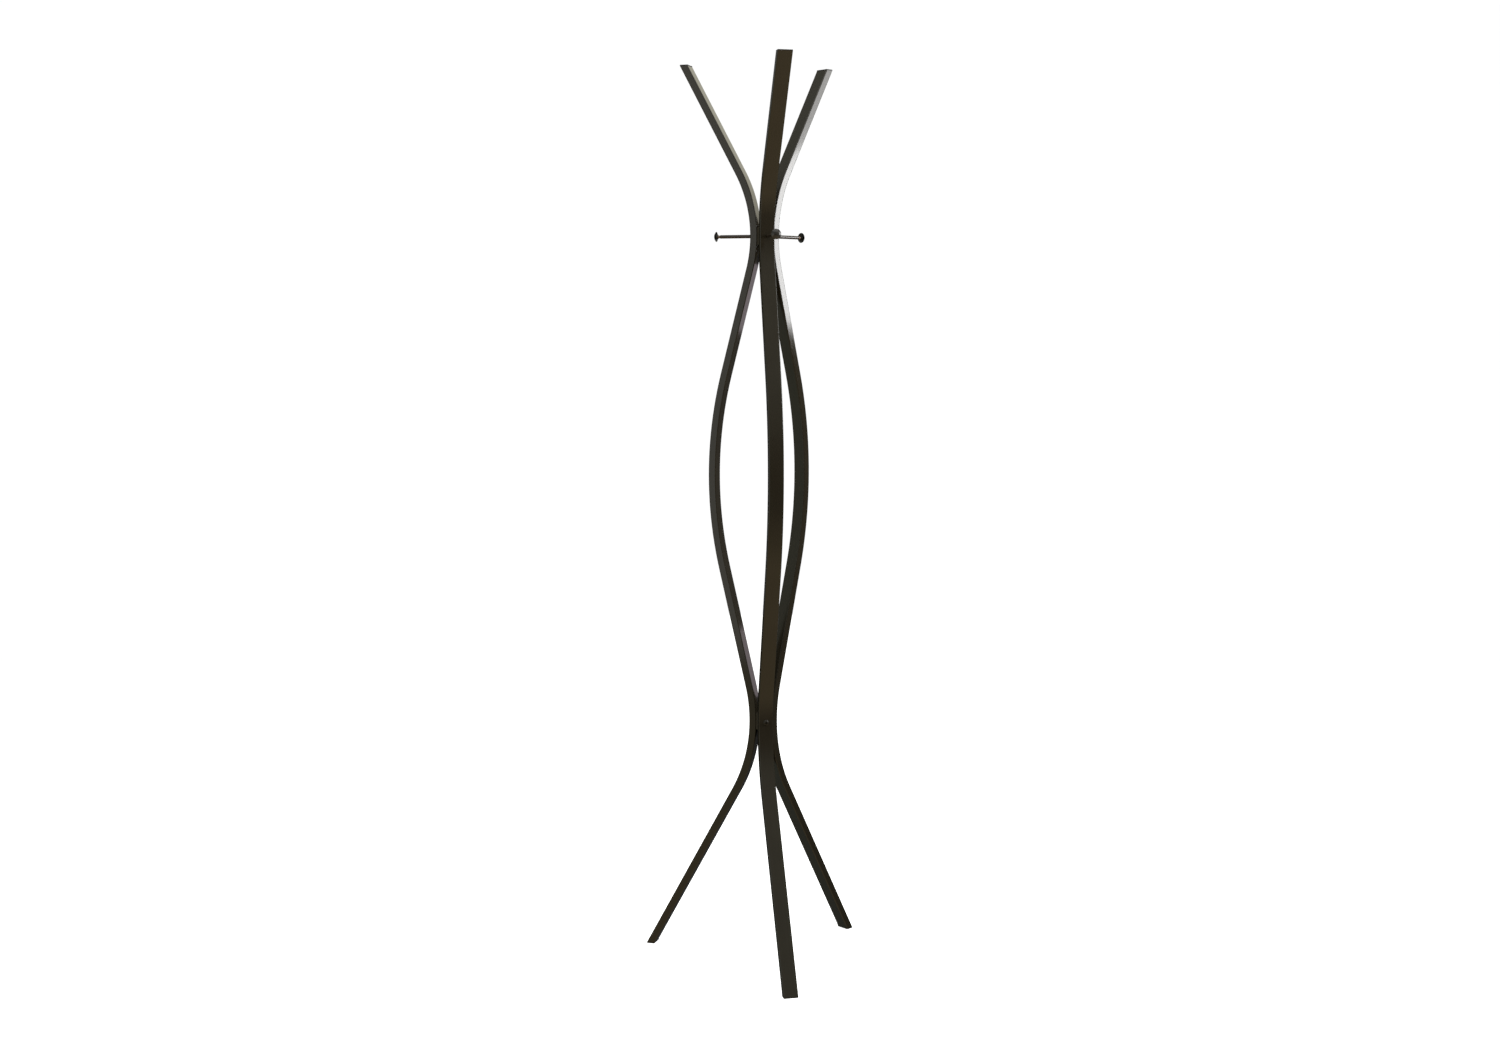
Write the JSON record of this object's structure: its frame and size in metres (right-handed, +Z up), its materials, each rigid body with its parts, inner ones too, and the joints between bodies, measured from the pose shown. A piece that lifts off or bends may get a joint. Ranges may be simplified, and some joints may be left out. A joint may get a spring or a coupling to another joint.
{
  "type": "coat rack",
  "caption": "Floor-standing coat rack: bent flat-tube legs pinched together at a lower and an upper waist, flared tips, and pegs with domed caps.",
  "frame": {"origin": "on the floor, at the middle of the rectangle that the rack covers; the rack's own axis stands 57.5 mm behind it, at x = 0", "axes": "+Z up; the front leg points along -Y, the right leg 30 degrees behind +X and the left leg 30 degrees behind -X"},
  "size_m": [0.4546, 0.3942, 1.829],
  "materials": {
    "leg_paint": "dark brown powder coat, satin to glossy",
    "hub_paint": "dark brown powder coat, satin",
    "bolt_paint": "dark brown paint, satin",
    "peg_paint": "dark brown paint, satin, with a bare neck behind the cap",
    "cap_paint": "dark brown paint, satin",
    "plug_plastic": "black moulded plastic"
  },
  "bodies": {
    "root": {"leg_front": "leg_paint", "leg_right": "leg_paint", "leg_left": "leg_paint", "foot_plug_front": "plug_plastic", "foot_plug_right": "plug_plastic", "foot_plug_left": "plug_plastic", "tip_plug_front": "plug_plastic", "tip_plug_right": "plug_plastic", "tip_plug_left": "plug_plastic", "lower_hub": "hub_paint", "upper_hub": "hub_paint", "lower_bolt_front": "bolt_paint", "lower_bolt_right": "bolt_paint", "lower_bolt_left": "bolt_paint", "peg_front": "peg_paint", "peg_right": "peg_paint", "peg_left": "peg_paint", "peg_cap_front": "cap_paint", "peg_cap_right": "cap_paint", "peg_cap_left": "cap_paint"}
  },
  "joints": []
}
